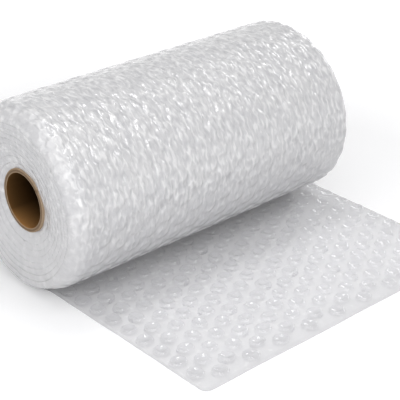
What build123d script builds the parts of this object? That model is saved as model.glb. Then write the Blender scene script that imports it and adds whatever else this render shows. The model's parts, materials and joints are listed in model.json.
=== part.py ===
from build123d import *
import os

# Bubble wrap roll: a cardboard tube with one web of bubble film wound on it, its free end run out flat.
# Frame: millimetres, +Z up, +Y along the roll's axis, +X the way the free end runs.
# The origin lies on the floor, under the middle of the roll.

# Web of bubble film, measured flat
WEB_WIDTH = 305.0
WEB_THICKNESS = 4.7
FILM_THICKNESS = 0.5

# Winding: whole turns on the tube, and the slack between them, less under the tube where the weight rests
TURNS = 9
TURN_GAP_ABOVE = 1.3
TURN_GAP_BELOW = 0.7
# How much wider the soft roll has settled than it is tall, which gives it its flat spot
SETTLE_WIDTH = 6.6

# Soft shoulders at the two ends of the outer turns
SHOULDER_RADIUS = 12.0
SHOULDER_PROUD = 0.9
SHOULDER_START_ANGLE = 12.0

# Cardboard tube
CORE_BORE_DIAMETER = 46.5
CORE_WALL = 3.75
CORE_LENGTH = 292.5
CORE_CLEARANCE = 0.3

# Free end: its reach from the roll's middle, how far the web has wandered along the axis, its front corners
TAIL_REACH = 209.0
TAIL_SHIFT = 15.5
TAIL_CORNER_RADIUS = 7.0
# The stretch that lies pressed under the roll, how far the film runs into it, and where its slant ends
NIP_REACH = 6.0
FILM_LAP = 3.0
SLANT_REACH = 20.0

# Bubbles on the free end, in staggered rows along the web
BUBBLE_PITCH = 19.7
BUBBLE_ROW_SPACING = 15.85
BUBBLE_BASE_DIAMETER = 15.6
BUBBLE_CROWN_DIAMETER = 11.0
BUBBLE_SIDES = 6
BUBBLE_EDGE_MARGIN = 1.6
BUBBLE_SINK = 0.2

# Worked out from the sizes above
HALF_TURNS = 2 * TURNS
PITCH_ABOVE = WEB_THICKNESS + TURN_GAP_ABOVE
PITCH_BELOW = WEB_THICKNESS + TURN_GAP_BELOW
CORE_OUTER_RADIUS = CORE_BORE_DIAMETER / 2 + CORE_WALL
FIRST_TURN_RADIUS = CORE_OUTER_RADIUS + CORE_CLEARANCE + WEB_THICKNESS
CORE_AXIS_HEIGHT = TURNS * PITCH_BELOW + FIRST_TURN_RADIUS
ROLL_HEIGHT = CORE_AXIS_HEIGHT + FIRST_TURN_RADIUS + (TURNS - 1) * PITCH_ABOVE


def settle_offset(half_turn):
    """How far a half-turn's centre stands from the middle plane: nothing on the tube, most at the outside."""
    return SETTLE_WIDTH / 2 * (HALF_TURNS - 1 - half_turn) / (HALF_TURNS - 1)


def half_turn_arc(half_turn, inset):
    """One half-turn, counted from the outside in: left ones run bottom to top, right ones top to bottom."""
    turn = half_turn // 2
    on_left = half_turn % 2 == 0
    side = -1 if on_left else 1
    top = ROLL_HEIGHT - turn * PITCH_ABOVE - inset
    bottom = (turn if on_left else turn + 1) * PITCH_BELOW + inset
    x = side * settle_offset(half_turn)
    middle = (x + side * (top - bottom) / 2, (top + bottom) / 2)
    return ((x, bottom), middle, (x, top)) if on_left else ((x, top), middle, (x, bottom))


def spiral_edges(inset):
    """One face of the wound web as arcs joined by short level runs, from the outside in."""
    edges = []
    last_end = None
    for half_turn in range(HALF_TURNS):
        start, middle, end = half_turn_arc(half_turn, inset)
        if last_end is not None:
            edges.append(Line(last_end, start))
        edges.append(ThreePointArc(start, middle, end))
        last_end = end
    return edges


def wound_web():
    """The turns of the roll as one strip, with the short stretch that lies pressed under the roll."""
    outer = spiral_edges(0)
    inner = spiral_edges(WEB_THICKNESS)
    outer_start, inner_start = outer[0] @ 0, inner[0] @ 0
    nip_bottom, nip_top = (NIP_REACH, 0), (NIP_REACH, WEB_THICKNESS)
    ends = [
        Line(outer[-1] @ 1, inner[-1] @ 1),
        Line(inner_start, nip_top),
        Line(nip_top, nip_bottom),
        Line(nip_bottom, outer_start),
    ]
    section = make_face(outer + inner + ends)
    return extrude(Plane.XZ * section, WEB_WIDTH / 2, both=True)


def shoulder_cutter():
    """What the soft outer turns lose at one end of the roll, swept along the outermost turn."""
    skipped = SHOULDER_START_ANGLE / 180
    left_arc = ThreePointArc(*half_turn_arc(0, 0)).trim(skipped, 1)
    right_arc = ThreePointArc(*half_turn_arc(1, 0)).trim(0, 1 - skipped)
    path = Plane.XZ * Wire([left_arc, Line(left_arc @ 1, right_arc @ 0), right_arc])
    out, back = SHOULDER_PROUD, -SHOULDER_RADIUS
    crest = (SHOULDER_RADIUS + SHOULDER_PROUD) / 2**0.5 - SHOULDER_RADIUS
    profile = make_face(
        [
            ThreePointArc((out, back), (crest, crest), (back, out)),
            Line((back, out), (out, out)),
            Line((out, out), (out, back)),
        ]
    )
    end_normal = Vector(0, 1, 0)
    outward = end_normal.cross(path % 0)
    corner = path @ 0 + end_normal * (WEB_WIDTH / 2)
    across_path = Plane(origin=corner, x_dir=outward, z_dir=outward.cross(end_normal))
    return sweep(across_path * profile, path=path)


def tail_film():
    """The flat film of the free end: it slants sideways out from under the roll, and its front corners are round."""
    start = NIP_REACH - FILM_LAP
    near, far = -WEB_WIDTH / 2, WEB_WIDTH / 2
    shifted_near, shifted_far = near + TAIL_SHIFT, far + TAIL_SHIFT
    outline = Polyline(
        (start, near),
        (SLANT_REACH, shifted_near),
        (TAIL_REACH, shifted_near),
        (TAIL_REACH, shifted_far),
        (SLANT_REACH, shifted_far),
        (start, far),
        close=True,
    )
    sheet = make_face(outline)
    front_corners = sheet.vertices().group_by(Axis.X)[-1]
    return extrude(fillet(front_corners, TAIL_CORNER_RADIUS), FILM_THICKNESS)


def bubble_places():
    """Centres of the bubbles on the free end: rows along the web, every other one half a pitch on."""
    room = BUBBLE_BASE_DIAMETER / 2 + BUBBLE_EDGE_MARGIN
    rows = int((WEB_WIDTH - 2 * room) / BUBBLE_ROW_SPACING) + 1
    first_y = TAIL_SHIFT - (rows - 1) * BUBBLE_ROW_SPACING / 2
    places = []
    for row in range(rows):
        x = SLANT_REACH + room + (row % 2) * BUBBLE_PITCH / 2
        while x <= TAIL_REACH - room:
            places.append((x, first_y + row * BUBBLE_ROW_SPACING))
            x += BUBBLE_PITCH
    return places


def bubble():
    """One air bubble, standing on the film: a short drum of flat facets that closes in towards its crown."""
    corners = range(BUBBLE_SIDES)
    turn = 360 / BUBBLE_SIDES
    foot_height = FILM_THICKNESS - BUBBLE_SINK
    foot = [Vector(BUBBLE_BASE_DIAMETER / 2, 0, foot_height).rotate(Axis.Z, turn * i) for i in corners]
    crown = [Vector(BUBBLE_CROWN_DIAMETER / 2, 0, WEB_THICKNESS).rotate(Axis.Z, turn * i) for i in corners]
    walls = [[foot[i - 1], foot[i], crown[i], crown[i - 1]] for i in corners]
    facets = [Face(Wire.make_polygon(outline)) for outline in [foot, crown] + walls]
    return Solid(Shell(facets))


def bubble_wrap():
    """The whole web: wound turns with soft shoulders, and the free end with its bubbles."""
    cutter = shoulder_cutter()
    roll = wound_web() - cutter - mirror(cutter, about=Plane.XZ)
    one = bubble()
    bubbles = [Pos(x, y, 0) * one for x, y in bubble_places()]
    return (roll + tail_film() + bubbles).clean()


def core_tube():
    """The cardboard tube, open at both ends."""
    wall = Circle(CORE_OUTER_RADIUS) - Circle(CORE_BORE_DIAMETER / 2)
    tube = extrude(Plane.XZ * wall, CORE_LENGTH / 2, both=True)
    return Pos(0, 0, CORE_AXIS_HEIGHT) * tube


os.makedirs("parts", exist_ok=True)
export_step(core_tube(), "parts/core_tube.step")
export_step(bubble_wrap(), "parts/bubble_wrap.step")
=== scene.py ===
# %% [markdown]
# # A roll of bubble film with its free end run out flat
# The roll is one long web of bubble film, wound on a cardboard tube. Its last stretch lies on the floor.
# The CAD frame gives the main sizes and places. This lesson adds the turns, bubbles, gloss and creases.
# Lengths are in metres. The roll's axis runs along Y, and the free end runs out along +X.

# %% Load the CAD frame
import json
import math

import bmesh
import bpy
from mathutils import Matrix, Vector, noise


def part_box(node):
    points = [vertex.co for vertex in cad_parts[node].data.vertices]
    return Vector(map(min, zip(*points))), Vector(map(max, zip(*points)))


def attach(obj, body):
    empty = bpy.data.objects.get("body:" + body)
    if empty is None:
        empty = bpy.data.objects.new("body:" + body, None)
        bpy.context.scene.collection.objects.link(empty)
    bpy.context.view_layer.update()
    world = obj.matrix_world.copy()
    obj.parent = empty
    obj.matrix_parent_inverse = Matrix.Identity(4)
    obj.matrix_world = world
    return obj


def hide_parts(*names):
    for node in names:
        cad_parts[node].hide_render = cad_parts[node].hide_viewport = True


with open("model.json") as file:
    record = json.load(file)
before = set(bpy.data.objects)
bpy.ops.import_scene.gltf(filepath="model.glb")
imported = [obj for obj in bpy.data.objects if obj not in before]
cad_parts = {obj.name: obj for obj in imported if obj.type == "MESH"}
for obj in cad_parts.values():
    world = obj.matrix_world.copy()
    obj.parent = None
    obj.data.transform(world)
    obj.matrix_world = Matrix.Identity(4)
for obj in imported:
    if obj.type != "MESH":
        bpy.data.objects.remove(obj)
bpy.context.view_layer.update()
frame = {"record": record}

scene = bpy.context.scene

# %% [markdown]
# ## Sizes that the frame already knows
# The turns could be measured again by eye, but then they would drift from the solids.
# So the roll's height, the reach of the free end and the tube are read from the boxes of the CAD nodes.
# Only what a box can't tell is written here: the web's thickness, the number of turns and how they settled.

# %% Read the driving sizes
MM_PER_METRE = 1000
web_low, web_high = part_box("bubble_wrap")
core_low, core_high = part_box("core_tube")
bore = next(mount for mount in frame["record"]["mounts"] if mount["name"] == "core_bore")

ROLL_HEIGHT = web_high.z
ROLL_HALF_WIDTH = -web_low.y
TAIL_REACH = web_high.x
TAIL_SHIFT = web_high.y - ROLL_HALF_WIDTH
CORE_RADIUS = (core_high.x - core_low.x) / 2
CORE_HEIGHT = (core_high.z + core_low.z) / 2
CORE_HALF_LENGTH = (core_high.y - core_low.y) / 2
BORE_RADIUS = bore["dims"]["r_mm"] / MM_PER_METRE

WEB_THICKNESS = 0.0047
FILM_THICKNESS = 0.0005
TURNS = 9
# How much wider than tall the roll has settled
SETTLE_WIDTH = 0.0066
CORE_CLEARANCE = 0.0003
FIRST_TURN_RADIUS = CORE_RADIUS + CORE_CLEARANCE + WEB_THICKNESS
PITCH_BELOW = (CORE_HEIGHT - FIRST_TURN_RADIUS) / TURNS
PITCH_ABOVE = (ROLL_HEIGHT - CORE_HEIGHT - FIRST_TURN_RADIUS) / (TURNS - 1)
print("turn pitch above and below the tube", PITCH_ABOVE, PITCH_BELOW)

# %% [markdown]
# ## Small helpers for objects and nodes
# Every piece below is made by the same few moves, such as adding an object, a node or a sum.
# Writing each move once keeps the cells short. A node's input may be a value, or a socket to link from.

# %% Helpers for objects and nodes
def add_object(name, data):
    """A new object at the origin."""
    piece = bpy.data.objects.new(name, data)
    scene.collection.objects.link(piece)
    return piece


def set_inputs(tree, node, inputs):
    """Sets a node's inputs, by name or by number, and links those that are given a socket."""
    for key, value in inputs.items():
        if isinstance(value, bpy.types.NodeSocket):
            tree.links.new(value, node.inputs[key])
        else:
            node.inputs[key].default_value = value


def add_node(tree, kind, inputs=(), **settings):
    """One node with its settings, and with its inputs given by name, by number or in order."""
    node = tree.nodes.new(kind)
    for name, value in settings.items():
        setattr(node, name, value)
    set_inputs(tree, node, inputs if isinstance(inputs, dict) else dict(enumerate(inputs)))
    return node


def calculate(tree, operation, *inputs):
    """The result of one sum on numbers."""
    return add_node(tree, "ShaderNodeMath", inputs, operation=operation).outputs[0]


def map_range(tree, value, low, high, to_low, to_high, smooth=False):
    """A number carried from one range to another and held at its ends."""
    kind = "SMOOTHSTEP" if smooth else "LINEAR"
    inputs = (value, low, high, to_low, to_high)
    return add_node(tree, "ShaderNodeMapRange", inputs, interpolation_type=kind).outputs[0]


print("helpers for numbers ready")

# %% [markdown]
# ## Helpers for vectors
# A place or a direction is three numbers that travel together, and nodes have their own sums for these.
# The same few sums serve the shapes and the finishes, because both kinds of node tree know them.

# %% Helpers for vectors
def calculate_vector(tree, operation, *inputs):
    """The result of one sum on vectors."""
    return add_node(tree, "ShaderNodeVectorMath", inputs, operation=operation).outputs[0]


def scale_vector(tree, vector, factor):
    """A vector made longer or shorter by a number."""
    inputs = {0: vector, "Scale": factor}
    return add_node(tree, "ShaderNodeVectorMath", inputs, operation="SCALE").outputs[0]


def vector_length(tree, vector):
    """The length of a vector."""
    return add_node(tree, "ShaderNodeVectorMath", (vector,), operation="LENGTH").outputs["Value"]


def make_vector(tree, x, y, z):
    """Three numbers as one vector."""
    return add_node(tree, "ShaderNodeCombineXYZ", (x, y, z)).outputs[0]


def split_vector(tree, vector):
    """The three numbers of a vector."""
    return add_node(tree, "ShaderNodeSeparateXYZ", (vector,)).outputs


print("helpers for vectors ready")

# %% [markdown]
# ## Running a Geometry Nodes tree
# A modifier would stay live and the export would drop its instances.
# So the tree runs on an empty mesh, its result is kept as a plain mesh, and the object it ran on goes.

# %% Helpers for Geometry Nodes
def start_tree(name, inputs):
    """An empty tree with named inputs and one geometry output."""
    tree = bpy.data.node_groups.new(name, "GeometryNodeTree")
    for label, kind in inputs.items():
        tree.interface.new_socket(label, in_out="INPUT", socket_type="NodeSocket" + kind)
    tree.interface.new_socket("Geometry", in_out="OUTPUT", socket_type="NodeSocketGeometry")
    return tree, add_node(tree, "NodeGroupInput").outputs


def end_tree(tree, geometry, material):
    """Realises what is left as instances, shades it smooth, gives it its material and ends the tree."""
    realised = add_node(tree, "GeometryNodeRealizeInstances", (geometry,)).outputs[0]
    smooth = add_node(tree, "GeometryNodeSetShadeSmooth", (realised,)).outputs[0]
    finished = add_node(tree, "GeometryNodeSetMaterial", {"Geometry": smooth, "Material": material})
    add_node(tree, "NodeGroupOutput", (finished.outputs[0],))


def object_geometry(tree, source):
    """The geometry of an object that a tree was given."""
    return add_node(tree, "GeometryNodeObjectInfo", {"Object": source}).outputs["Geometry"]


def run_tree(name, tree, values):
    """Runs a tree with these named values and keeps the result as a plain mesh object."""
    carrier = add_object(name + "_carrier", bpy.data.meshes.new(name + "_start"))
    modifier = carrier.modifiers.new(name, "NODES")
    modifier.node_group = tree
    for socket in tree.interface.items_tree:
        if socket.in_out == "INPUT":
            modifier[socket.identifier] = values[socket.name]
    evaluated = carrier.evaluated_get(bpy.context.evaluated_depsgraph_get())
    mesh = bpy.data.meshes.new_from_object(evaluated)
    bpy.data.objects.remove(carrier)
    mesh.name = name
    print(name, len(mesh.vertices), "points,", len(mesh.polygons), "faces")
    return add_object(name, mesh)


print("helpers for node trees ready")

# %% [markdown]
# ## The camera
# The photograph looks down on the near end of the roll with a long lens.
# The camera could be placed by eye. Its place and lens were fitted to the outline of the solids instead,
# so the render can be laid over the photograph.

# %% Place the camera
CAMERA_PLACE = (0.7795, -0.6487, 0.5531)
CAMERA_AZIMUTH = 48.401
CAMERA_ELEVATION = 27.242
SENSOR_WIDTH_MM = 36.0
FOCAL_PIXELS = 1287.3
IMAGE_PIXELS = 400

camera_data = bpy.data.cameras.new("camera")
camera_data.sensor_width = SENSOR_WIDTH_MM
camera_data.lens = FOCAL_PIXELS * SENSOR_WIDTH_MM / IMAGE_PIXELS
camera = add_object("camera", camera_data)
camera.location = CAMERA_PLACE
camera.rotation_euler = (math.radians(90 - CAMERA_ELEVATION), 0, math.radians(CAMERA_AZIMUTH))
scene.camera = camera
print("lens", round(camera_data.lens, 2), "mm")

# %% [markdown]
# ## Helpers for finishes
# Film and board are both one Principled shader with a few textures, so the textures are helpers too.
# They read Object coordinates, which stay with the piece, or what its mesh carries along the web.

# %% Helpers for finishes
def start_material(name):
    """A material with its node tree and its one Principled shader."""
    material = bpy.data.materials.new(name)
    material.use_nodes = True
    tree = material.node_tree
    return material, tree, tree.nodes["Principled BSDF"]


def object_place(tree):
    """A point's place in Object coordinates."""
    return add_node(tree, "ShaderNodeTexCoord").outputs["Object"]


def noise_value(tree, vector, scale, detail=2.0, roughness=0.5, distortion=0.0):
    """Smooth noise from 0 to 1."""
    inputs = {"Vector": vector, "Scale": scale, "Detail": detail}
    inputs.update({"Roughness": roughness, "Distortion": distortion})
    return add_node(tree, "ShaderNodeTexNoise", inputs).outputs[0]


def mix_colours(tree, factor, first, second):
    """A mix of two colours, which are inputs 6 and 7 of a Mix node."""
    inputs = {0: factor, 6: first, 7: second}
    return add_node(tree, "ShaderNodeMix", inputs, data_type="RGBA").outputs[2]


def relief(tree, height, strength, depth):
    """The slopes of a surface that rises and falls with a texture."""
    inputs = {"Strength": strength, "Distance": depth, "Height": height}
    return add_node(tree, "ShaderNodeBump", inputs).outputs[0]


print("helpers for finishes ready")

# %% [markdown]
# ## Film seen in many layers
# On the roll, light passes through many clear layers and comes back nearly white, so the web looks milky.
# A true stack of clear films would be slow and noisy. One milky surface with a glossy skin looks the same.
# Fine streaks follow the web where film and bubbles were drawn tight. At its edges they turn to crinkles.
# The streaks' contrast is painted light: low on the roll, where less light falls, it fades,
# and their creases are shallower there too.

# %% Make the milky film
CLOUD_SCALE = 38.0
BODY_COLOURS = ((0.585, 0.585, 0.605, 1), (0.69, 0.685, 0.69, 1))
GREY_STREAK = (0.495, 0.495, 0.515, 1)
# Whitened film that is partly painted highlights
WHITE_STREAK_AND_HIGHLIGHT = (0.88, 0.875, 0.88, 1)
# Density of the streaks along and across the web, and of the crinkles
STREAK_SCALES = (150.0, 330.0, 0.0)
CRINKLE_SCALE = 170.0
# Distances from the web's edge between which crinkles give way to streaks
CRINKLE_END = 0.0005
STREAK_START = 0.006
# Painted light: below the first height the streaks keep only a share of their contrast and relief, above
# the second all of their strength
DIMMED_STREAK_HEIGHT = 0.035
FULL_STREAK_HEIGHT = 0.095
DIMMED_STREAK_SHARE = 0.35
# Each range has two values of the streak noise, and the share or roughness at each
GREY_RANGE = (0.28, 0.46, 0.62, 0.0)
WHITE_AND_HIGHLIGHT_RANGE = (0.52, 0.70, 0.0, 0.65)
ROUGH_RANGE = (0.35, 0.65, 0.12, 0.07)
CREASE_STRENGTH = 0.45
CREASE_DEPTH = 0.0022


def film_streaks(tree, place):
    """Streaks along the web, with crinkles at its edges."""
    web = add_node(tree, "ShaderNodeAttribute", attribute_name="web").outputs["Vector"]
    drawn = calculate_vector(tree, "MULTIPLY", web, STREAK_SCALES)
    streak = noise_value(tree, drawn, 1.0, detail=0.6, distortion=0.5)
    across = split_vector(tree, web)[1]
    from_edge = calculate(tree, "SUBTRACT", ROLL_HALF_WIDTH, calculate(tree, "ABSOLUTE", across))
    kept = map_range(tree, from_edge, CRINKLE_END, STREAK_START, 0.0, 1.0)
    crinkle = noise_value(tree, place, CRINKLE_SCALE, detail=2.5, roughness=0.6)
    return calculate(tree, "MULTIPLY_ADD", calculate(tree, "SUBTRACT", streak, crinkle), kept, crinkle)


def milky_film(name):
    """Film many layers deep: a pale grey body, greyer streaks, whiter streaks that are partly painted
    highlights, and a glossy skin.
    """
    material, tree, shader = start_material(name)
    place = object_place(tree)
    height = split_vector(tree, place)[2]
    # Painted light: the streaks' colour and relief weaken low on the roll, where less light falls
    lit_and_crease_share = map_range(tree, height, DIMMED_STREAK_HEIGHT, FULL_STREAK_HEIGHT, DIMMED_STREAK_SHARE, 1.0, smooth=True)
    streak = film_streaks(tree, place)
    grey = calculate(tree, "MULTIPLY", map_range(tree, streak, *GREY_RANGE), lit_and_crease_share)
    # Whiter streaks, partly whitened film and partly painted highlights
    white_and_highlight = calculate(tree, "MULTIPLY", map_range(tree, streak, *WHITE_AND_HIGHLIGHT_RANGE), lit_and_crease_share)
    colour = mix_colours(tree, noise_value(tree, place, CLOUD_SCALE, detail=3.0), *BODY_COLOURS)
    colour = mix_colours(tree, grey, colour, GREY_STREAK)
    colour = mix_colours(tree, white_and_highlight, colour, WHITE_STREAK_AND_HIGHLIGHT)
    strength = calculate(tree, "MULTIPLY", lit_and_crease_share, CREASE_STRENGTH)
    finish = {"Base Color": colour, "Roughness": map_range(tree, streak, *ROUGH_RANGE)}
    finish["Normal"] = relief(tree, streak, strength, CREASE_DEPTH)
    finish["Specular IOR Level"] = 1.0
    set_inputs(tree, shader, finish)
    return material


wound_film = milky_film("wound_film")
print("film for the roll:", wound_film.name)

# %% [markdown]
# ## The path of the web
# One line carries the whole web: along the floor from the cut edge to the roll, then round it.
# It could be a library spiral, but a soft roll settles: it is wider than tall, with its turns closer below.
# So each point comes from a formula, where the top and bottom of a turn close in by their own pitch.

# %% Draw the path
STEPS_PER_TURN = 120
TAIL_STEPS = 42


def turn_point(turn):
    """A point on the web's outer face, counted in turns from where it leaves the floor."""
    top = ROLL_HEIGHT - (turn - 0.5) * PITCH_ABOVE
    bottom = turn * PITCH_BELOW
    radius = (top - bottom) / 2
    half_width = radius + SETTLE_WIDTH / 2 * (1 - turn / TURNS)
    angle = 2 * math.pi * turn
    return (-half_width * math.sin(angle), 0.0, (top + bottom) / 2 - radius * math.cos(angle))


def poly_line(name, points, closed=False):
    """A curve object that joins points by straight runs."""
    curve = bpy.data.curves.new(name, "CURVE")
    curve.dimensions = "3D"
    spline = curve.splines.new("POLY")
    spline.points.add(len(points) - 1)
    for target, point in zip(spline.points, points):
        target.co = (*point, 1.0)
    spline.use_cyclic_u = closed
    return add_object(name, curve)


def run_length(points):
    """The length of the straight runs between points."""
    places = [Vector(point) for point in points]
    return sum((after - before).length for before, after in zip(places, places[1:]))


tail_points = [(TAIL_REACH * (1 - step / TAIL_STEPS), 0.0, 0.0) for step in range(TAIL_STEPS)]
turn_points = [turn_point(step / STEPS_PER_TURN) for step in range(TURNS * STEPS_PER_TURN + 1)]
web_path = poly_line("web_path", tail_points + turn_points)
OUTER_TURN_LENGTH = run_length(turn_points[: STEPS_PER_TURN + 1])
LAST_TURN_LENGTH = run_length(turn_points[-STEPS_PER_TURN - 1 :])
WOUND_LENGTH = run_length(turn_points)
print("outermost turn", round(OUTER_TURN_LENGTH, 4), "m, wound length", round(WOUND_LENGTH, 3), "m")

# %% [markdown]
# ## The section of the web
# Cut across, the wound web is a flat cushion, thick enough to meet the turn below it, with soft edges.
# A rectangle would do for its middle. Near its edges it has more points, since the web bends there.
# The outer turn gets a finer section than the rest, because only its face is seen from the side.

# %% Draw the sections
WOUND_THICKNESS = 0.0064
EDGE_ROUND = 0.0003
EDGE_ARC_STEPS = 4
# Distances from the edge at which the section has a point
EDGE_RUN = (0.0016, 0.003, 0.005, 0.0075, 0.0105, 0.014, 0.018, 0.024)
COARSE_STEPS = 6
FINE_STEPS = 170


def section_points(middle_steps):
    """The closed outline of the web, as depth below its outer face and place across it."""
    half_depth = WOUND_THICKNESS / 2
    arc_centre = ROLL_HALF_WIDTH - EDGE_ROUND
    runs = [ROLL_HALF_WIDTH - inset for inset in EDGE_RUN]
    middle = runs[-1]
    flat = [middle - 2 * middle * step / middle_steps for step in range(1, middle_steps)]
    across = runs + flat + [-place for place in reversed(runs)]
    bend = [math.pi * step / EDGE_ARC_STEPS for step in range(EDGE_ARC_STEPS + 1)]
    points = [
        (-half_depth - half_depth * math.cos(angle), arc_centre + EDGE_ROUND * math.sin(angle), 0.0)
        for angle in bend
    ]
    points += [(0.0, place, 0.0) for place in across]
    points += [
        (-half_depth + half_depth * math.cos(angle), -arc_centre - EDGE_ROUND * math.sin(angle), 0.0)
        for angle in bend
    ]
    inside = runs + [-place for place in reversed(runs)]
    return points + [(-WOUND_THICKNESS, -place, 0.0) for place in inside]


coarse_section = poly_line("coarse_section", section_points(COARSE_STEPS), closed=True)
fine_section = poly_line("fine_section", section_points(FINE_STEPS), closed=True)
print("section points", [len(one.data.splines[0].points) for one in (coarse_section, fine_section)])

# %% [markdown]
# ## The skin over the bubbles
# Through the outer layer of film, each bubble of the outermost turn shows as a low drum with a slack crown.
# Hundreds of loose domes would leave seams between them and the web. So the web itself rises:
# each point finds its nearest bubble in the lattice, and its height follows from that distance.

# %% Raise the film over each bubble
BUBBLE_PITCH = 0.0197
BUBBLE_ROW_SPACING = 0.01585
BUBBLE_RADIUS = 0.0078
# From the cut edge of the web to the middle of its first bubbles
FRONT_MARGIN = 0.01215
# Where the crown meets the rim of the drum, as a share of its radius, and how far the crown sags
DRUM_RIM = 0.72
CROWN_SLACK = 0.55
DRUM_POWER = 4.0
# No two bubbles are equally full
FULLNESS_SCALES = (45.0, 55.0, 1.0)
FULLNESS_RANGE = (0.3, 0.7, 0.65, 1.1)
CREASE_SCALES = (70.0, 190.0, 1.0)


def centred_noise(tree, vector, detail, size):
    """Noise about nothing, of a given size."""
    value = noise_value(tree, vector, 1.0, detail=detail, roughness=0.6)
    return calculate(tree, "MULTIPLY", calculate(tree, "SUBTRACT", value, 0.5), size)


def nearest_bubble(tree, along, across):
    """How far a place on the web lies from the middle of the nearest bubble."""
    distances = []
    # Every other row starts half a pitch on
    for half_step in (0.0, 0.5):
        ahead = calculate(tree, "SUBTRACT", along, FRONT_MARGIN + half_step * BUBBLE_PITCH)
        beside = calculate(tree, "SUBTRACT", across, 2 * half_step * BUBBLE_ROW_SPACING)
        ahead = calculate(tree, "WRAP", ahead, BUBBLE_PITCH / 2, -BUBBLE_PITCH / 2)
        beside = calculate(tree, "WRAP", beside, BUBBLE_ROW_SPACING, -BUBBLE_ROW_SPACING)
        distances.append(vector_length(tree, make_vector(tree, ahead, beside, 0.0)))
    return calculate(tree, "MINIMUM", *distances)


def film_relief(tree, along, across, given):
    """The outer film over the bubbles: the bare shape of its drums, and its height with creases."""
    reach = calculate(tree, "DIVIDE", nearest_bubble(tree, along, across), BUBBLE_RADIUS)
    drum = map_range(tree, calculate(tree, "POWER", reach, DRUM_POWER), 0.0, 1.0, 1.0, 0.0)
    slack = map_range(tree, calculate(tree, "POWER", reach, 2.0), 0.0, DRUM_RIM**2, CROWN_SLACK, 0.0)
    dome = calculate(tree, "SUBTRACT", drum, slack)
    web = make_vector(tree, along, across, given["Seed"])
    spread = calculate_vector(tree, "MULTIPLY", web, FULLNESS_SCALES)
    fullness = map_range(tree, noise_value(tree, spread, 1.0, detail=1.0), *FULLNESS_RANGE)
    swell = calculate(tree, "MULTIPLY", calculate(tree, "MULTIPLY", dome, fullness), given["Swell"])
    drawn = calculate_vector(tree, "MULTIPLY", web, CREASE_SCALES)
    crease = centred_noise(tree, drawn, 2.0, given["Crease"])
    return dome, calculate(tree, "ADD", swell, crease)


print("bubbles", BUBBLE_PITCH, "m apart, in rows", BUBBLE_ROW_SPACING, "m apart")

# %% [markdown]
# ## Carrying the section along the path
# On the real roll one web runs from the tube to the outside without a break, so the turns are one spiral.
# Rings set inside each other would be simpler, but the ends would show that no turn leads to the next.
# Curve to Mesh makes the spiral. Each of its points keeps where it came from on the path and the section.

# %% Carry the section
# Near the nip the roll's weight presses the web to a share of its thickness
PRESSED_RUN = 0.05
PRESSED_SHARE = 0.85


def capture(tree, geometry, fields):
    """Keeps field values on a geometry, so that later nodes can still read them."""
    node = add_node(tree, "GeometryNodeCaptureAttribute")
    for name, (kind, _) in fields.items():
        node.capture_items.new(kind, name)
    sockets = [geometry] + [socket for _, socket in fields.values()]
    set_inputs(tree, node, dict(enumerate(sockets)))
    return list(node.outputs)[: len(sockets)]


def carry_section(tree, given):
    """The wound mesh, and each point's place, heading and run on the path and place on the section."""
    here = add_node(tree, "GeometryNodeInputPosition").outputs[0]
    tangent = add_node(tree, "GeometryNodeInputTangent").outputs[0]
    length = add_node(tree, "GeometryNodeSplineParameter").outputs["Length"]
    fields = {"place": ("VECTOR", here), "heading": ("VECTOR", tangent), "along": ("FLOAT", length)}
    path, place, heading, along = capture(tree, object_geometry(tree, given["Path"]), fields)
    section, cut = capture(tree, object_geometry(tree, given["Section"]), {"cut": ("VECTOR", here)})
    # Inputs 4 and 5 of Trim Curve are its ends as lengths
    ends = {0: path, 4: given["Start"], 5: given["End"]}
    stretch = add_node(tree, "GeometryNodeTrimCurve", ends, mode="LENGTH").outputs[0]
    spacing = {"Curve": stretch, "Length": given["Step"]}
    spaced = add_node(tree, "GeometryNodeResampleCurve", spacing, mode="LENGTH").outputs[0]
    sweep = {"Curve": spaced, "Profile Curve": section, "Fill Caps": True}
    wound = add_node(tree, "GeometryNodeCurveToMesh", sweep).outputs[0]
    return wound, place, heading, along, cut


def settled_depth(tree, given, depth, wound_on):
    """Depth below the outer face: less at the nip, more where the innermost turn closes in on the tube."""
    pressed = map_range(tree, wound_on, 0.0, PRESSED_RUN, PRESSED_SHARE, 1.0, smooth=True)
    start, end = given["Last Turn Start"], given["Last Turn End"]
    on_last_turn = calculate(tree, "GREATER_THAN", wound_on, start)
    gap = map_range(tree, wound_on, start, end, given["Last Gap"], 0.0)
    thicker = calculate(tree, "MULTIPLY_ADD", gap, on_last_turn, pressed)
    return calculate(tree, "MULTIPLY", depth, thicker)


print("the web is pressed for", PRESSED_RUN, "m past the nip")

# %% [markdown]
# ## The soft ends of the roll
# Nothing holds the edges of the web, so the outer turns fall into a soft shoulder at each end.
# A bevel would make every shoulder alike. Here the shoulder is deeper at the near end than at the far one,
# grows from the tube to the outside, and is mostly pressed out at the floor.
# The end faces are dished towards the tube, and the edges of the turns sway, waver and crinkle.

# %% Shape the ends
SHOULDER_POWER = 2.2
DISH_POWER = 2.2
RIM_POWER = 6.0
# Height over which the floor keeps the ends from falling in, and what is left of the fall at the floor
FLOOR_REACH = 0.035
FLOOR_SHARE = 0.30
# Density of the noise for swaying end faces, their puckers, and wavering and crinkled edges
SWAY_SCALE = 28.0
PUCKER_SCALE = 4.5
WAVER_SCALE = 26.0
EDGE_CRINKLE_SCALE = 60.0
EDGE_CRINKLE_SEED = 7.0


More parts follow.
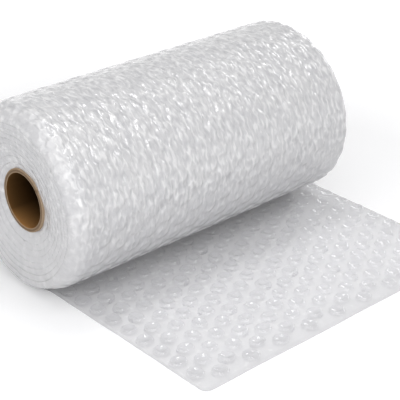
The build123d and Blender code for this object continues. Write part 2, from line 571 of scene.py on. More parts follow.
def end_fields(tree, given, place, across, from_axis):
    """Which end a point belongs to, how near its edge it is, how far out, and how free of the floor."""
    side = calculate(tree, "SIGN", across)
    from_edge = calculate(tree, "SUBTRACT", given["Half Width"], calculate(tree, "ABSOLUTE", across))
    reach = map_range(tree, side, -1.0, 1.0, given["Shoulder Reach"], given["Far Reach"])
    edge = map_range(tree, from_edge, 0.0, reach, 1.0, 0.0)
    radius = vector_length(tree, from_axis)
    inwards = map_range(tree, radius, given["Core Radius"], given["Roll Radius"], 1.0, 0.0)
    height = split_vector(tree, place)[2]
    free = map_range(tree, height, 0.0, FLOOR_REACH, FLOOR_SHARE, 1.0, smooth=True)
    fields = {"side": side, "edge": edge, "inwards": inwards, "free": free}
    fields["round_edge"] = calculate(tree, "POWER", edge, SHOULDER_POWER)
    fields["outwards"] = calculate(tree, "SUBTRACT", 1.0, inwards)
    return fields


def shoulder_drop(tree, given, fields):
    """How far the shoulder falls towards the axis."""
    share = calculate(tree, "POWER", fields["outwards"], given["Shoulder Spread"])
    share = calculate(tree, "MULTIPLY", share, fields["free"])
    drop = calculate(tree, "MULTIPLY", fields["round_edge"], share)
    most = map_range(tree, fields["side"], -1.0, 1.0, given["Shoulder Drop"], given["Far Drop"])
    return calculate(tree, "MULTIPLY", drop, most)


def end_shift(tree, given, fields, along, from_axis):
    """How far a point near an end moves along the axis: dished in, swaying, puckered and wavering."""
    side = fields["side"]
    dish = calculate(tree, "POWER", fields["inwards"], DISH_POWER)
    dish = calculate(tree, "MULTIPLY", dish, given["Dish"])
    rim = calculate(tree, "POWER", fields["outwards"], RIM_POWER)
    rim = calculate(tree, "MULTIPLY", rim, given["Rim Recede"])
    dish = calculate(tree, "ADD", dish, calculate(tree, "MULTIPLY", rim, fields["free"]))
    to_side = make_vector(tree, 0.0, side, 0.0)
    sway_place = calculate_vector(tree, "ADD", scale_vector(tree, from_axis, SWAY_SCALE), to_side)
    sway = calculate(tree, "SUBTRACT", centred_noise(tree, sway_place, 1.0, given["End Sway"]), dish)
    pucker_place = scale_vector(tree, sway_place, PUCKER_SCALE)
    sway = calculate(tree, "ADD", sway, centred_noise(tree, pucker_place, 2.0, given["End Crinkle"]))
    waver_place = make_vector(tree, calculate(tree, "MULTIPLY", along, WAVER_SCALE), side, given["Seed"])
    waver = calculate(tree, "ADD", centred_noise(tree, waver_place, 3.0, given["Edge Waver"]), sway)
    return calculate(tree, "MULTIPLY", calculate(tree, "MULTIPLY", waver, fields["edge"]), side)


def edge_crinkle(tree, given, fields, along):
    """Small crinkles in and out along the very edge of the web."""
    run = calculate(tree, "MULTIPLY", along, EDGE_CRINKLE_SCALE)
    place = make_vector(tree, run, fields["side"], EDGE_CRINKLE_SEED)
    crinkle = centred_noise(tree, place, 2.0, given["Edge Crinkle"])
    return calculate(tree, "MULTIPLY", crinkle, fields["round_edge"])


print("shoulders pressed to", FLOOR_SHARE, "of their fall at the floor")

# %% [markdown]
# ## Winding the web
# The real web is wound by turning the tube and guiding the film, and where it leaves the roll, at the nip,
# it has wandered a little along the axis. A finished mesh could be bent by hand for that.
# One tree does it all in order instead: it carries the section, then moves each point by the sums above.
# It also stores every point's place on the web, which the milky film reads for its streaks.

# %% Build the winding tree
WINDING_SIZES = (
    "Start", "End", "Step", "Half Width", "Nip", "Wander", "Wander Run",
    "Axis Height", "Core Radius", "Roll Radius", "Last Turn Start", "Last Turn End", "Last Gap",
    "Shoulder Reach", "Shoulder Drop", "Far Reach", "Far Drop", "Shoulder Spread", "Dish", "Rim Recede",
    "End Sway", "End Crinkle", "Edge Waver", "Edge Crinkle", "Swell", "Crease", "Seed",
)
# Past the nip the drums and crinkles rise from here to the end of the pressed run
RISE_START = 0.012
# Depth of the skin that takes the relief
OUTER_SKIN = 0.0003


def point_lift(tree, given, fields, wound_on, along, depth, height):
    """How far a point stands off the path: its depth, less the shoulder, with crinkles and relief."""
    rise = map_range(tree, wound_on, RISE_START, PRESSED_RUN, 0.0, 1.0, smooth=True)
    outer_face = map_range(tree, depth, -OUTER_SKIN, 0.0, 0.0, 1.0)
    height = calculate(tree, "MULTIPLY", height, calculate(tree, "MULTIPLY", outer_face, rise))
    off_edge = calculate(tree, "SUBTRACT", 1.0, fields["round_edge"])
    height = calculate(tree, "MULTIPLY", height, off_edge)
    crinkle = calculate(tree, "MULTIPLY", edge_crinkle(tree, given, fields, along), rise)
    lift = calculate(tree, "SUBTRACT", depth, shoulder_drop(tree, given, fields))
    return calculate(tree, "ADD", calculate(tree, "ADD", lift, crinkle), height)


def wind_tree():
    """Geometry Nodes that wind a section along the path and soften it."""
    inputs = {"Path": "Object", "Section": "Object", "Material": "Material"}
    inputs.update(dict.fromkeys(WINDING_SIZES, "Float"))
    tree, given = start_tree("wind_the_web", inputs)
    wound, place, heading, along, cut = carry_section(tree, given)
    depth, across, _ = split_vector(tree, cut)
    wound_on = calculate(tree, "SUBTRACT", along, given["Nip"])
    depth = settled_depth(tree, given, depth, wound_on)
    outward = calculate_vector(tree, "CROSS_PRODUCT", heading, (0.0, 1.0, 0.0))
    axis_point = make_vector(tree, 0.0, 0.0, given["Axis Height"])
    from_axis = calculate_vector(tree, "SUBTRACT", place, axis_point)
    from_axis = calculate_vector(tree, "ADD", from_axis, scale_vector(tree, outward, depth))
    fields = end_fields(tree, given, place, across, from_axis)
    dome, height = film_relief(tree, along, across, given)
    lift = point_lift(tree, given, fields, wound_on, along, depth, height)
    wander = map_range(tree, wound_on, 0.0, given["Wander Run"], given["Wander"], 0.0, smooth=True)
    beside = calculate(tree, "ADD", across, end_shift(tree, given, fields, along, from_axis))
    sideways = make_vector(tree, 0.0, calculate(tree, "ADD", beside, wander), 0.0)
    moved = calculate_vector(tree, "ADD", place, scale_vector(tree, outward, lift))
    moved = calculate_vector(tree, "ADD", moved, sideways)
    shaped = add_node(tree, "GeometryNodeSetPosition", {"Geometry": wound, "Position": moved}).outputs[0]
    stored = {"Geometry": shaped, "Name": "web", "Value": make_vector(tree, along, across, dome)}
    kind = {"data_type": "FLOAT_VECTOR", "domain": "POINT"}
    named = add_node(tree, "GeometryNodeStoreNamedAttribute", stored, **kind).outputs[0]
    end_tree(tree, named, given["Material"])
    return tree


wind_the_web = wind_tree()
print("winding tree of", len(wind_the_web.nodes), "nodes")

# %% [markdown]
# ## The turns inside
# All turns but the outermost show only their edges, at the two ends of the roll.
# They could be left out behind a flat disc, but then the spiral of edges would have to be painted.
# They are wound in full, with a coarse section and long steps, and without domes.

# %% Wind the turns inside
NIP_REACH = 0.006
NIP_WANDER = 0.006
INNER_STEP = 0.004
# The trim stops at the path's own end, which lies well before this
PATH_END = 100.0

winding = {
    "Path": web_path,
    "Material": wound_film,
    "Seed": 3.0,
    "Half Width": ROLL_HALF_WIDTH,
    "Nip": TAIL_REACH - NIP_REACH,
    "Wander": NIP_WANDER,
    "Wander Run": 0.09,
    "Axis Height": CORE_HEIGHT,
    "Core Radius": CORE_RADIUS,
    "Roll Radius": ROLL_HEIGHT / 2,
    "Last Turn Start": WOUND_LENGTH - LAST_TURN_LENGTH,
    "Last Turn End": WOUND_LENGTH,
    "Last Gap": PITCH_BELOW / WOUND_THICKNESS,
    "Shoulder Reach": 0.016,
    "Shoulder Drop": 0.0095,
    "Far Reach": 0.009,
    "Far Drop": 0.0068,
    "Shoulder Spread": 2.0,
    "Dish": 0.0080,
    "Rim Recede": 0.0008,
    "End Sway": 0.004,
    "End Crinkle": 0.0022,
    "Edge Waver": 0.0005,
    "Edge Crinkle": 0.0006,
}


def face_outwards(piece):
    """Turns every face of a closed mesh outwards."""
    work = bmesh.new()
    work.from_mesh(piece.data)
    bmesh.ops.recalc_face_normals(work, faces=work.faces)
    work.to_mesh(piece.data)
    work.free()


inner_start = TAIL_REACH + OUTER_TURN_LENGTH
inner = dict(winding, Section=coarse_section, Start=inner_start, End=PATH_END, Step=INNER_STEP)
inner.update({"Swell": 0.0, "Crease": 0.0})
wound_web = run_tree("wound_web", wind_the_web, inner)
face_outwards(wound_web)

# %% [markdown]
# ## The outermost turn
# This turn is the face of the roll, where the light picks out every bubble and crease.
# A bump in the material would give the glints but leave the outline smooth. So the same tree runs again
# with the fine section and short steps, and swells the film over each bubble.

# %% Wind the outermost turn
OUTER_STEP = 0.0016
# How far the outermost turn runs past the start of the next one, so that no slit shows
OUTER_LAP = 0.002

outer = dict(winding, Section=fine_section, Start=TAIL_REACH - NIP_REACH, Step=OUTER_STEP)
outer.update({"End": inner_start + OUTER_LAP, "Swell": 0.0014, "Crease": 0.0006})
outer_turn = run_tree("outer_turn", wind_the_web, outer)
face_outwards(outer_turn)

# %% [markdown]
# ## One bubble
# A bubble is a drum of film that was drawn by vacuum: a steep wall, a round shoulder and a slack crown.
# A cut sphere would be quicker but has no crown. So it is a few rings of points, turned from a profile.
# There are nearly two hundred bubbles, so each is kept under a hundred faces.

# %% Shape a bubble
BUBBLE_SIDES = 12
BUBBLE_HEIGHT = WEB_THICKNESS - FILM_THICKNESS
# Radius and height of each ring, as shares of the bubble's own
BUBBLE_PROFILE = (
    (1.0, -0.05), (0.99, 0.36), (0.94, 0.70), (0.85, 0.92),
    (0.73, 1.0), (0.60, 0.94), (0.42, 0.78), (0.20, 0.69),
)
BUBBLE_CROWN = 0.66


def draw_bubble(name):
    """Rings of points from the foot to the crown, closed by a fan at the top and a flat face below."""
    points = []
    for radius, rise in BUBBLE_PROFILE:
        for side in range(BUBBLE_SIDES):
            angle = 2 * math.pi * side / BUBBLE_SIDES
            reach = BUBBLE_RADIUS * radius
            points.append((reach * math.cos(angle), reach * math.sin(angle), BUBBLE_HEIGHT * rise))
    points.append((0.0, 0.0, BUBBLE_HEIGHT * BUBBLE_CROWN))
    faces = []
    last = (len(BUBBLE_PROFILE) - 1) * BUBBLE_SIDES
    for ring in range(0, last, BUBBLE_SIDES):
        for side in range(BUBBLE_SIDES):
            low, next_low = ring + side, ring + (side + 1) % BUBBLE_SIDES
            faces.append((low, next_low, next_low + BUBBLE_SIDES, low + BUBBLE_SIDES))
    for side in range(BUBBLE_SIDES):
        faces.append((last + side, last + (side + 1) % BUBBLE_SIDES, len(points) - 1))
    faces.append(tuple(reversed(range(BUBBLE_SIDES))))
    mesh = bpy.data.meshes.new(name)
    mesh.from_pydata(points, [], faces)
    return add_object(name, mesh)


bubble_shape = draw_bubble("bubble_shape")
print("faces of a bubble", len(bubble_shape.data.polygons))

# %% [markdown]
# ## A lattice of bubbles
# The forming drum leaves bubbles in staggered rows, and the rows stay with the web wherever it goes.
# An array of copies would need its own sums for every row, and could not follow the web sideways.
# The tree counts out rows and columns along the path, from the same cut edge as the domes on the roll,
# so both belong to one lattice. Each bubble then gets a size and a tilt of its own.

# %% Build the lattice tree
LATTICE_INPUTS = {"Path": "Object", "Shape": "Object", "Material": "Material"}
LATTICE_INPUTS.update(dict.fromkeys(("Columns", "Rows", "Seed"), "Int"))
LATTICE_SIZES = (
    "Start", "Pitch", "Row Spacing", "Side", "Lift", "Shift", "Shift Start", "Shift End", "Nip Shift",
    "Size Spread", "Tilt Spread",
)
LATTICE_INPUTS.update(dict.fromkeys(LATTICE_SIZES, "Float"))


def lattice_runs(tree, given):
    """How far along and across the web each bubble lies, with every other row half a pitch on."""
    index = add_node(tree, "GeometryNodeInputIndex").outputs[0]
    row = calculate(tree, "FLOORED_MODULO", index, given["Rows"])
    column = calculate(tree, "FLOOR", calculate(tree, "DIVIDE", index, given["Rows"]))
    odd = calculate(tree, "FLOORED_MODULO", row, 2.0)
    stagger = calculate(tree, "MULTIPLY", calculate(tree, "SUBTRACT", 1.0, odd), 0.5)
    steps = calculate(tree, "ADD", column, stagger)
    along = calculate(tree, "MULTIPLY_ADD", steps, given["Pitch"], given["Start"])
    last_row = calculate(tree, "SUBTRACT", given["Rows"], 1.0)
    from_middle = calculate(tree, "SUBTRACT", row, calculate(tree, "MULTIPLY", last_row, 0.5))
    return along, calculate(tree, "MULTIPLY", from_middle, given["Row Spacing"])


def random_vector(tree, low, high, seed):
    """A vector for each point, drawn between two others."""
    inputs = {0: low, 1: high, "Seed": seed}
    return add_node(tree, "FunctionNodeRandomValue", inputs, data_type="FLOAT_VECTOR").outputs[0]


def lattice_tree():
    """Geometry Nodes that set one shape in staggered rows along the path."""
    tree, given = start_tree("lay_bubbles", LATTICE_INPUTS)
    count = calculate(tree, "MULTIPLY", given["Columns"], given["Rows"])
    points = add_node(tree, "GeometryNodeMeshLine", {"Count": count}).outputs[0]
    along, across = lattice_runs(tree, given)
    shift_start, shift_end = given["Shift Start"], given["Shift End"]
    wander = map_range(tree, along, shift_start, shift_end, given["Shift"], given["Nip Shift"])
    sample = {"Curves": object_geometry(tree, given["Path"]), "Length": along}
    spot = add_node(tree, "GeometryNodeSampleCurve", sample, mode="LENGTH", use_all_curves=True).outputs
    outward = calculate_vector(tree, "CROSS_PRODUCT", spot["Tangent"], (0.0, 1.0, 0.0))
    facing = scale_vector(tree, outward, given["Side"])
    place = calculate_vector(tree, "ADD", spot["Position"], scale_vector(tree, facing, given["Lift"]))
    sideways = make_vector(tree, 0.0, calculate(tree, "ADD", across, wander), 0.0)
    place = calculate_vector(tree, "ADD", place, sideways)
    set_out = add_node(tree, "GeometryNodeSetPosition", {"Geometry": points, "Position": place}).outputs[0]
    tilt = random_vector(tree, (-1.0, -1.0, -1.0), (1.0, 1.0, 1.0), given["Seed"])
    leaning = calculate_vector(tree, "ADD", facing, scale_vector(tree, tilt, given["Tilt Spread"]))
    upright = add_node(tree, "FunctionNodeAlignRotationToVector", {"Vector": leaning}, axis="Z").outputs[0]
    low = calculate(tree, "SUBTRACT", 1.0, given["Size Spread"])
    size_seed = calculate(tree, "ADD", given["Seed"], 1.0)
    size = random_vector(tree, make_vector(tree, low, low, low), (1.0, 1.0, 1.0), size_seed)
    copies = {"Points": set_out, "Instance": object_geometry(tree, given["Shape"])}
    copies.update({"Rotation": upright, "Scale": size})
    laid = add_node(tree, "GeometryNodeInstanceOnPoints", copies).outputs[0]
    end_tree(tree, laid, given["Material"])
    return tree


lay_bubbles = lattice_tree()
print("lattice tree of", len(lay_bubbles.nodes), "nodes")

# %% [markdown]
# ## The flat film of the free end
# The free end is a single layer, so the floor shows through it, and most of its look is gloss.
# Glass would bend every ray twice and make the render noisy. A pale shader that is half see-through
# is calm and exports well. A slightly darker band runs along the cut edge.

# %% Make the film of the free end
SHEET_SCALE = 120.0
SHEET_COLOURS = ((0.665, 0.665, 0.68, 1), (0.735, 0.73, 0.74, 1))
SHEET_ROUGH_RANGE = (0.3, 0.7, 0.15, 0.30)
SHEET_ALPHA = 0.5
# Distances from the cut edge between which the darker band sets in, and how much it darkens
EDGE_BAND_START = 0.0055
EDGE_BAND_END = 0.0035
EDGE_BAND_SHARE = 0.12
EDGE_BAND_COLOUR = (0.30, 0.31, 0.33, 1)
RIPPLE_DEPTH = 0.001
SHEET_RIPPLE_SCALE = 160.0
SHEET_RIPPLE = 0.25


def sheet_film(name):
    """The flat film: a haze of pale grey over the floor, with a darker band along its cut edge."""
    material, tree, shader = start_material(name)
    place = object_place(tree)
    tone = noise_value(tree, place, SHEET_SCALE, detail=3.0)
    ahead = split_vector(tree, place)[0]
    dark_band = map_range(tree, ahead, TAIL_REACH - EDGE_BAND_START, TAIL_REACH - EDGE_BAND_END, 0.0, EDGE_BAND_SHARE)
    ripple = noise_value(tree, place, SHEET_RIPPLE_SCALE)
    finish = {"Roughness": map_range(tree, tone, *SHEET_ROUGH_RANGE), "Alpha": SHEET_ALPHA}
    finish["Base Color"] = mix_colours(tree, dark_band, mix_colours(tree, tone, *SHEET_COLOURS), EDGE_BAND_COLOUR)
    finish["Normal"] = relief(tree, ripple, SHEET_RIPPLE, RIPPLE_DEPTH)
    set_inputs(tree, shader, finish)
    return material


tail_sheet_film = sheet_film("tail_sheet_film")
print("film for the free end:", tail_sheet_film.name)

# %% [markdown]
# ## The skin of the bubbles
# A bubble's film is so thin and clear that only its gloss and the slope of its wall show.
# Solid glass would turn it into a lens. So light passes almost unbent, and a clear coat gives the gloss.

# %% Make the skin of the bubbles
SKIN_SCALE = 260.0
SKIN_COLOURS = ((0.93, 0.93, 0.95, 1), (1.0, 1.0, 1.0, 1))
SKIN_RIPPLE = 0.2


def bubble_skin(name):
    """The blown film of a bubble: clear, under a glossy coat with fine ripples."""
    material, tree, shader = start_material(name)
    tone = noise_value(tree, object_place(tree), SKIN_SCALE)
    ripple = relief(tree, tone, SKIN_RIPPLE, RIPPLE_DEPTH)
    finish = {
        "Base Color": mix_colours(tree, tone, *SKIN_COLOURS),
        "Normal": ripple,
        "Coat Normal": ripple,
        "Transmission Weight": 1.0,
        "IOR": 1.01,
        "Roughness": 0.04,
        "Coat Weight": 1.0,
        "Coat IOR": 1.55,
        "Coat Roughness": 0.06,
    }
    set_inputs(tree, shader, finish)
    return material


tail_bubble_film = bubble_skin("tail_bubble_film")
print("skin of the bubbles:", tail_bubble_film.name)

# %% [markdown]
# ## The free end on the floor
# It slants a little sideways out from under the roll, because the web has wandered along the axis.
# A plane would do for the outline, but not for its soft lie: loose edges lift a hair off the floor.
# So it is a grid of quads between its two edges, with round front corners, and then gets its thickness.

# %% Set out the free end
FILM_START = 0.003
SLANT_REACH = 0.020
CORNER_RADIUS = 0.007
CORNER_STEPS = 6
FILM_STEP = 0.0035
# How much narrower the film is where it slips under the roll
FILM_TUCK = 0.007
# How high loose edges lift, how wide a strip lifts, and where along X it starts and how soon it is full
EDGE_LIFT = 0.0011
LOOSE_WIDTH = 0.02
LOOSE_START = 0.05
LOOSE_RUN = 0.05
LIFT_SCALE = 30
LIFT_SEED = 2.0


def hold(value):
    """A number held between 0 and 1."""
    return min(1.0, max(0.0, value))


def film_stations():
    """Places along X where the film's edges are set out, closer together round the front corners."""
    run = TAIL_REACH - CORNER_RADIUS - FILM_START
    straight = int(run / FILM_STEP)
    stations = [FILM_START + run * step / straight for step in range(straight + 1)]
    quarter = [math.pi / 2 * step / CORNER_STEPS for step in range(1, CORNER_STEPS + 1)]
    return stations + [TAIL_REACH - CORNER_RADIUS * (1 - math.sin(angle)) for angle in quarter]


def film_edges(x):
    """The near and far edge of the film at one place along X."""
    slant = hold((x - FILM_START) / (SLANT_REACH - FILM_START))
    into_corner = max(0.0, x - (TAIL_REACH - CORNER_RADIUS))
    narrowing = CORNER_RADIUS - math.sqrt(max(0.0, CORNER_RADIUS**2 - into_corner**2))
    middle = NIP_WANDER + (TAIL_SHIFT - NIP_WANDER) * slant
    half = ROLL_HALF_WIDTH - narrowing - FILM_TUCK * (1 - slant)
    return middle - half, middle + half


def film_height(x, y, near, far):
    """How far the film lies off the floor: nothing in the middle, a little along its free edges."""
    from_edge = min(y - near, far - y, TAIL_REACH - x)
    looseness = max(0.0, 1 - from_edge / LOOSE_WIDTH) * hold((x - LOOSE_START) / LOOSE_RUN)
    wave = noise.noise(Vector((x * LIFT_SCALE, y * LIFT_SCALE, LIFT_SEED)))
    return EDGE_LIFT * looseness * (0.5 + 0.5 * wave)


print("free end set out at", len(film_stations()), "places")

# %% [markdown]
# ## Laying the film
# Film comes off the roll as one piece of even thickness. A Solidify modifier could give the thickness,
# but the free end needs it only upwards, so its faces are extruded once and lifted.

# %% Lay the film
FILM_COLUMNS = 72
# The soft film is a little thinner than the solid's
FILM_SHARE = 0.8
FILM_TOP = FILM_THICKNESS * FILM_SHARE


def keep_mesh(work, name, material):
    """A worked mesh as a smooth object with a material, its faces turned outwards."""
    bmesh.ops.recalc_face_normals(work, faces=work.faces)
    mesh = bpy.data.meshes.new(name)
    work.to_mesh(mesh)
    work.free()
    mesh.polygons.foreach_set("use_smooth", [True] * len(mesh.polygons))
    mesh.materials.append(material)
    print(name, len(mesh.polygons), "faces")
    return add_object(name, mesh)


def lay_film():
    """The film as a grid of quads, then given its thickness."""
    work = bmesh.new()
    rows = []
    for x in film_stations():
        near, far = film_edges(x)
        places = [near + (far - near) * step / FILM_COLUMNS for step in range(FILM_COLUMNS + 1)]
        rows.append([work.verts.new((x, y, film_height(x, y, near, far))) for y in places])
    for first, second in zip(rows, rows[1:]):
        for side in range(FILM_COLUMNS):
            work.faces.new((first[side], second[side], second[side + 1], first[side + 1]))
    top = bmesh.ops.extrude_face_region(work, geom=work.faces[:])
    lifted = [item for item in top["geom"] if isinstance(item, bmesh.types.BMVert)]
    bmesh.ops.translate(work, verts=lifted, vec=(0.0, 0.0, FILM_TOP))
    return keep_mesh(work, "tail_film", tail_sheet_film)


tail_film = lay_film()

# %% [markdown]
# ## The bubbles on the free end
# The lattice of the roll runs on over the free end, with whole bubbles standing up from the film.
# They could all be copies of one, but real ones lose a little air, each in its own way.
# So their size and tilt spread a little, from a fixed seed.

# %% Lay the bubbles on the free end
BUBBLE_ROWS = 19
TAIL_COLUMNS = 10
# Bubbles stand on the inner face of the web, which lies uppermost on the floor
INNER_SIDE = -1.0

on_tail = {
    "Path": web_path,
    "Shape": bubble_shape,
    "Material": tail_bubble_film,
    "Seed": 11,
    "Columns": TAIL_COLUMNS,
    "Rows": BUBBLE_ROWS,
    "Start": FRONT_MARGIN,
    "Pitch": BUBBLE_PITCH,
    "Row Spacing": BUBBLE_ROW_SPACING,
    "Side": INNER_SIDE,
    "Lift": FILM_TOP,
    "Shift": TAIL_SHIFT,
    "Shift Start": TAIL_REACH - SLANT_REACH,
    "Shift End": TAIL_REACH - FILM_START,
    "Nip Shift": NIP_WANDER,
    "Size Spread": 0.16,
    "Tilt Spread": 0.06,
}
tail_bubbles = run_tree("tail_bubbles", lay_bubbles, on_tail)

# %% [markdown]
# ## Cardboard
# The tube is wound from strips of kraft paper on a slant. Its cut wall shows pale paper at both faces
# and a darker ply between them, partly painted shade of a bevel.
# Inside, painted shade darkens the bore a few centimetres in and on its upper walls.
# A picture of board would have to be wrapped round the tube. Distances from its axis fit by themselves.

# %% Lay up the colours of the board
STRIP_TURNS_PER_METRE = 11.0
STRIP_SEAM_WIDTH = 0.012
# Each range has two distances from the middle of the wall, and the share at each of the paper, or of the
# ply with its painted bevel shade
PALE_RANGE = (0.0009, 0.0018, 0.0, 0.6)
PALE_PAPER = (0.52, 0.395, 0.275, 1)
PLY_AND_BEVEL_SHADE_RANGE = (0.0002, 0.0008, 0.5, 0.0)
PLY_AND_BEVEL_SHADE = (0.12, 0.085, 0.06, 1)
# The lining of the bore at its mouth, then painted shade in its depth and on its upper walls
LINING_AND_DEPTH_SHADE = ((0.45, 0.225, 0.078, 1), (0.005, 0.002, 0.0007, 1))
DEPTH_SHADE_RUN = 0.032
DEPTH_SHADE_POWER = 0.5
SHADED_LINING = (0.007, 0.003, 0.001, 1)
SHADED_SHARE = 0.7
SHADE_TOP = 0.6


def strip_seam(tree, sideways, along, up):
    """1 on the slanting seam between two strips, 0 away from it."""
    turn = calculate(tree, "DIVIDE", calculate(tree, "ARCTAN2", up, sideways), 2 * math.pi)
    strips = calculate(tree, "MULTIPLY_ADD", along, STRIP_TURNS_PER_METRE, turn)
    off_seam = calculate(tree, "SUBTRACT", calculate(tree, "FRACT", strips), 0.5)
    return map_range(tree, calculate(tree, "ABSOLUTE", off_seam), 0.0, STRIP_SEAM_WIDTH, 1.0, 0.0)


def cut_wall(tree, colour, radius, inside):
    """The cut wall: pale paper at its faces and a darker ply in its middle, partly painted shade of a
    bevel.
    """
    wall_middle = (CORE_RADIUS + BORE_RADIUS) / 2
    off_middle = calculate(tree, "ABSOLUTE", calculate(tree, "SUBTRACT", radius, wall_middle))
    outside = calculate(tree, "SUBTRACT", 1.0, inside)
    pale = calculate(tree, "MULTIPLY", map_range(tree, off_middle, *PALE_RANGE), outside)
    colour = mix_colours(tree, pale, colour, PALE_PAPER)
    # The darker ply is partly painted shade of a bevel at the rim
    return mix_colours(tree, map_range(tree, off_middle, *PLY_AND_BEVEL_SHADE_RANGE), colour, PLY_AND_BEVEL_SHADE)


def bore_lining_and_shade(tree, along, up):
    """The lining inside the bore, with painted shade that darkens it with depth and on its upper walls."""
    from_mouth = calculate(tree, "SUBTRACT", CORE_HALF_LENGTH, calculate(tree, "ABSOLUTE", along))
    # Painted shade: the lining darkens towards the middle of the bore
    depth_shade = map_range(tree, from_mouth, 0.0, DEPTH_SHADE_RUN, 0.0, 1.0)
    lining_with_depth_shade = mix_colours(tree, calculate(tree, "POWER", depth_shade, DEPTH_SHADE_POWER), *LINING_AND_DEPTH_SHADE)
    # Painted shade on the upper walls of the bore
    upper_shade = map_range(tree, up, -BORE_RADIUS, -SHADE_TOP * BORE_RADIUS, 0.0, SHADED_SHARE)
    return mix_colours(tree, upper_shade, lining_with_depth_shade, SHADED_LINING)


print("board around a bore of radius", BORE_RADIUS)

# %% [markdown]
# ## The finish of the board
# Kraft board is matt and fibrous, and under soft light it has no gloss at all.
# An even brown would look like plastic. So fibres, stretched along the tube, give its tone, its roughness
# and a fine relief.

# %% Make the cardboard
FIBRE_STRETCH = (1.0, 0.35, 1.0)
FIBRE_SCALE = 420.0
FIBRE_COLOURS = ((0.23, 0.155, 0.10, 1), (0.345, 0.25, 0.165, 1))
FIBRE_ROUGH_RANGE = (0.3, 0.7, 0.72, 0.92)
FIBRE_STRENGTH = 0.4
FIBRE_DEPTH = 0.0003
SEAM_BROWN = (0.16, 0.09, 0.04, 1)
SEAM_BROWN_SHARE = 0.5
# Distances outside the bore between which its lining ends
LINING_NEAR = 0.0001
LINING_FAR = 0.0004


def cardboard(name):
    """Kraft board: warm brown fibres, a slanting seam, pale paper and a darker ply with painted bevel shade
    at the cut rim, and painted shade in the bore.
    """
    material, tree, shader = start_material(name)
    place = object_place(tree)
    sideways, along, height = split_vector(tree, place)
    up = calculate(tree, "SUBTRACT", height, CORE_HEIGHT)
    flat = calculate_vector(tree, "MULTIPLY", place, (1.0, 0.0, 1.0))
    radius = vector_length(tree, calculate_vector(tree, "SUBTRACT", flat, (0.0, 0.0, CORE_HEIGHT)))
    inside = map_range(tree, radius, BORE_RADIUS + LINING_NEAR, BORE_RADIUS + LINING_FAR, 1.0, 0.0)
    stretched = calculate_vector(tree, "MULTIPLY", place, FIBRE_STRETCH)
    fibre = noise_value(tree, stretched, FIBRE_SCALE, detail=5.0, roughness=0.7)
    colour = cut_wall(tree, mix_colours(tree, fibre, *FIBRE_COLOURS), radius, inside)
    colour = mix_colours(tree, inside, colour, bore_lining_and_shade(tree, along, up))
    dark_band = calculate(tree, "MULTIPLY", strip_seam(tree, sideways, along, up), SEAM_BROWN_SHARE)
    finish = {"Base Color": mix_colours(tree, dark_band, colour, SEAM_BROWN)}
    finish["Roughness"] = map_range(tree, fibre, *FIBRE_ROUGH_RANGE)
    finish["Normal"] = relief(tree, fibre, FIBRE_STRENGTH, FIBRE_DEPTH)
    finish["Specular IOR Level"] = 0.0
    set_inputs(tree, shader, finish)
    return material


kraft_board = cardboard("kraft_board")
print("board:", kraft_board.name)

# %% [markdown]
# ## The cardboard tube
# The tube is cut square, so its rims are a little soft and fuzzy.
# The CAD tube has the right size but a hard edge. New rings of points keep the size, round the rims
# and shake each rim by a hair.

# %% Turn the tube
TUBE_SIDES = 96
RIM_RADIUS = 0.0006
RIM_STEPS = 3
RIM_FUZZ = 0.00018
FUZZ_SCALE = 400
FUZZ_SCALE_ALONG = 9


def tube_profile():
    """Radius and place along the axis of each ring, from the outer wall round both rims."""
    quarter = [math.pi / 2 * step / RIM_STEPS for step in range(RIM_STEPS + 1)]
    insets = [(RIM_RADIUS * (1 - math.cos(a)), RIM_RADIUS * (1 - math.sin(a))) for a in quarter]
    outer = [(CORE_RADIUS - inset, CORE_HALF_LENGTH - back) for inset, back in insets]
    inner = [(BORE_RADIUS + inset, CORE_HALF_LENGTH - back) for inset, back in insets]
    far = outer + inner[::-1]
    return far + [(radius, -place) for radius, place in reversed(far)]


def turn_tube():
    """Rings of points round the axis, joined into a closed tube."""
    work = bmesh.new()
    rings = []
    for radius, along in tube_profile():
        ring = []
        for side in range(TUBE_SIDES):
            angle = 2 * math.pi * side / TUBE_SIDES
            x, z = radius * math.cos(angle), radius * math.sin(angle)
            shake = noise.noise(Vector((x * FUZZ_SCALE, along * FUZZ_SCALE_ALONG, z * FUZZ_SCALE)))
            ring.append(work.verts.new((x, along + RIM_FUZZ * shake, CORE_HEIGHT + z)))
        rings.append(ring)
    for first, second in zip(rings, rings[1:] + rings[:1]):
        for side in range(TUBE_SIDES):
            after = (side + 1) % TUBE_SIDES
            work.faces.new((first[side], first[after], second[after], second[side]))
    return keep_mesh(work, "cardboard_core", kraft_board)


cardboard_core = turn_tube()

# %% [markdown]
# ## Floor
# The photograph has a white sweep and only a faint shadow.
# A pure white floor would bounce too much light up on to the roll. So the floor is a pale board,
# lifted to white only for the rays that show it, and less so near the roll, where it keeps the shadow.

# %% Build the floor
FLOOR_SIZE = 8.0
FLOOR_CORNERS = ((-1, -1), (1, -1), (1, 1), (-1, 1))
FLOOR_DROP = 0.0002
FLOOR_COLOUR = (0.82, 0.82, 0.83, 1)
# Two distances from the origin, and the lift at each
LIFT_RANGE = (0.3, 1.1, 0.23, 1.0)


def rays_that_show(tree):
    """1 for rays that show the backdrop, to the camera, in gloss or through clear film, and else 0."""
    rays = add_node(tree, "ShaderNodeLightPath").outputs
    seen = calculate(tree, "MAXIMUM", rays["Is Camera Ray"], rays["Is Glossy Ray"])
    seen = calculate(tree, "MAXIMUM", seen, rays["Is Transmission Ray"])
    return calculate(tree, "MULTIPLY", seen, calculate(tree, "LESS_THAN", rays["Diffuse Depth"], 0.5))


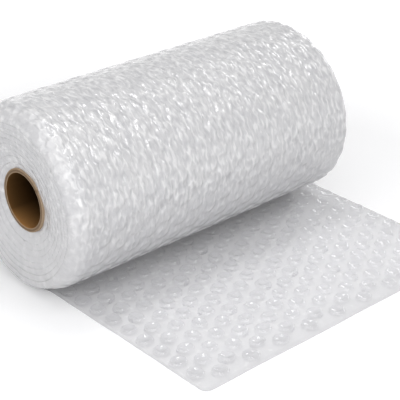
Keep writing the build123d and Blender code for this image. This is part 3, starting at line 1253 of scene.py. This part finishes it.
def pale_floor(name):
    """A pale floor that is lifted to white where it is seen, and keeps its shadows."""
    material, tree, _ = start_material(name)
    tree.nodes.clear()
    board = add_node(tree, "ShaderNodeBsdfDiffuse", {"Color": FLOOR_COLOUR}).outputs[0]
    lift = map_range(tree, vector_length(tree, object_place(tree)), *LIFT_RANGE)
    strength = calculate(tree, "MULTIPLY", rays_that_show(tree), lift)
    glow = add_node(tree, "ShaderNodeEmission", {"Strength": strength}).outputs[0]
    both = add_node(tree, "ShaderNodeAddShader", (board, glow)).outputs[0]
    add_node(tree, "ShaderNodeOutputMaterial", (both,))
    return material


floor_mesh = bpy.data.meshes.new("floor")
floor_points = [(x * FLOOR_SIZE / 2, y * FLOOR_SIZE / 2, -FLOOR_DROP) for x, y in FLOOR_CORNERS]
floor_mesh.from_pydata(floor_points, [], [(0, 1, 2, 3)])
floor_mesh.materials.append(pale_floor("pale_floor"))
floor = add_object("floor", floor_mesh)
print("floor", FLOOR_SIZE, "m wide")

# %% [markdown]
# ## Soft lamps
# The roll stands in soft light from above and from the front, so its shadows are broad and pale.
# One large lamp would give every side the same tone. Three lamps, above the roll, beyond its near end
# and beyond the free end, set the tones of these three apart.

# %% Hang the soft lamps
# The point that the lamps face
MIDDLE = (0.03, 0.0, 0.08)
# Each lamp has its place from that point, its size in metres and its power in watts
LAMPS = {
    "overhead": ((-0.02, -0.22, 1.30), 1.00, 3.6),
    "near_end": ((0.24, -1.04, 0.72), 0.90, 3.4),
    "tail_side": ((1.02, -0.60, 0.68), 1.00, 6.2),
}


def soft_lamp(name, offset, size, power):
    """A square lamp at an offset from the middle, facing it, and not seen through clear film."""
    data = bpy.data.lights.new(name, "AREA")
    data.shape = "SQUARE"
    data.size = size
    data.energy = power
    lamp = add_object(name, data)
    lamp.location = Vector(MIDDLE) + offset
    aim = Vector(MIDDLE) - lamp.location
    lamp.rotation_euler = aim.to_track_quat("-Z", "Y").to_euler()
    lamp.visible_transmission = False


for name, (offset, size, power) in LAMPS.items():
    soft_lamp("lamp_" + name, Vector(offset), size, power)
print("soft lamps", list(LAMPS))

# %% [markdown]
# ## Glints
# The upper side of the roll sparkles, because facets of film there mirror small bright lamps.
# Small lamps could be hung by trial. It is quicker to choose the facets that should glint
# and to mirror the direction of the camera in each: the lamp hangs where that ray goes.

# %% Hang the lamps for glints
# How far round the roll a facet faces, and how far it leans along the axis, in degrees, with a lamp's watts
GLINT_ROUNDS = (48.0, 67.0)
GLINT_LEANS = {-17.0: 2.8, 17.0: 1.9}
GLINT_DISTANCE = 1.6
GLINT_SIZE = 0.40


def mirrored_view(round_angle, lean):
    """The direction from which a facet mirrors light to the camera."""
    facing, leaning = math.radians(round_angle), math.radians(lean)
    level = math.cos(leaning)
    facet = Vector((level * math.cos(facing), math.sin(leaning), level * math.sin(facing)))
    to_camera = (Vector(CAMERA_PLACE) - Vector(MIDDLE)).normalized()
    return 2 * facet.dot(to_camera) * facet - to_camera


for round_angle in GLINT_ROUNDS:
    for lean, power in GLINT_LEANS.items():
        soft_lamp("lamp_glint", GLINT_DISTANCE * mirrored_view(round_angle, lean), GLINT_SIZE, power)

# %% [markdown]
# ## White sky
# Behind the roll the photograph is plain white, and the shadows on the roll are filled from all sides.
# A sky as white as that would wash out every shadow. So the sky is dim for light that falls on the roll,
# and towards the horizon it is white for the rays that show it.

# %% Light the sky
SKY_STRENGTH = 0.34
# Heights of a ray between which the shown sky turns from white to its dim self
HORIZON_TOP = 0.20
CEILING_START = 0.42

world = bpy.data.worlds.new("white_sky")
world.use_nodes = True
scene.world = world
sky = world.node_tree
ray = add_node(sky, "ShaderNodeTexCoord").outputs["Generated"]
shown = map_range(sky, split_vector(sky, ray)[2], HORIZON_TOP, CEILING_START, 1.0, SKY_STRENGTH)
extra = calculate(sky, "MULTIPLY", rays_that_show(sky), calculate(sky, "SUBTRACT", shown, SKY_STRENGTH))
strength = calculate(sky, "ADD", extra, SKY_STRENGTH)
set_inputs(sky, sky.nodes["Background"], {"Strength": strength, "Color": (1.0, 1.0, 1.0, 1.0)})
scene.view_settings.view_transform = "Standard"
print("sky strength", SKY_STRENGTH)

# %% [markdown]
# ## The pieces and the frame
# The path, the two sections and the one bubble were only patterns to work from, so they go.
# Each piece is then tied to the body of the part.

# %% Tie the pieces to the frame
# Clear film throws hardly any shadow
tail_film.visible_shadow = False
tail_bubbles.visible_shadow = False

for pattern in (web_path, coarse_section, fine_section, bubble_shape):
    bpy.data.objects.remove(pattern)

for piece in (wound_web, outer_turn, tail_film, tail_bubbles):
    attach(piece, "root")
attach(cardboard_core, "root")
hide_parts("bubble_wrap")
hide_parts("core_tube")
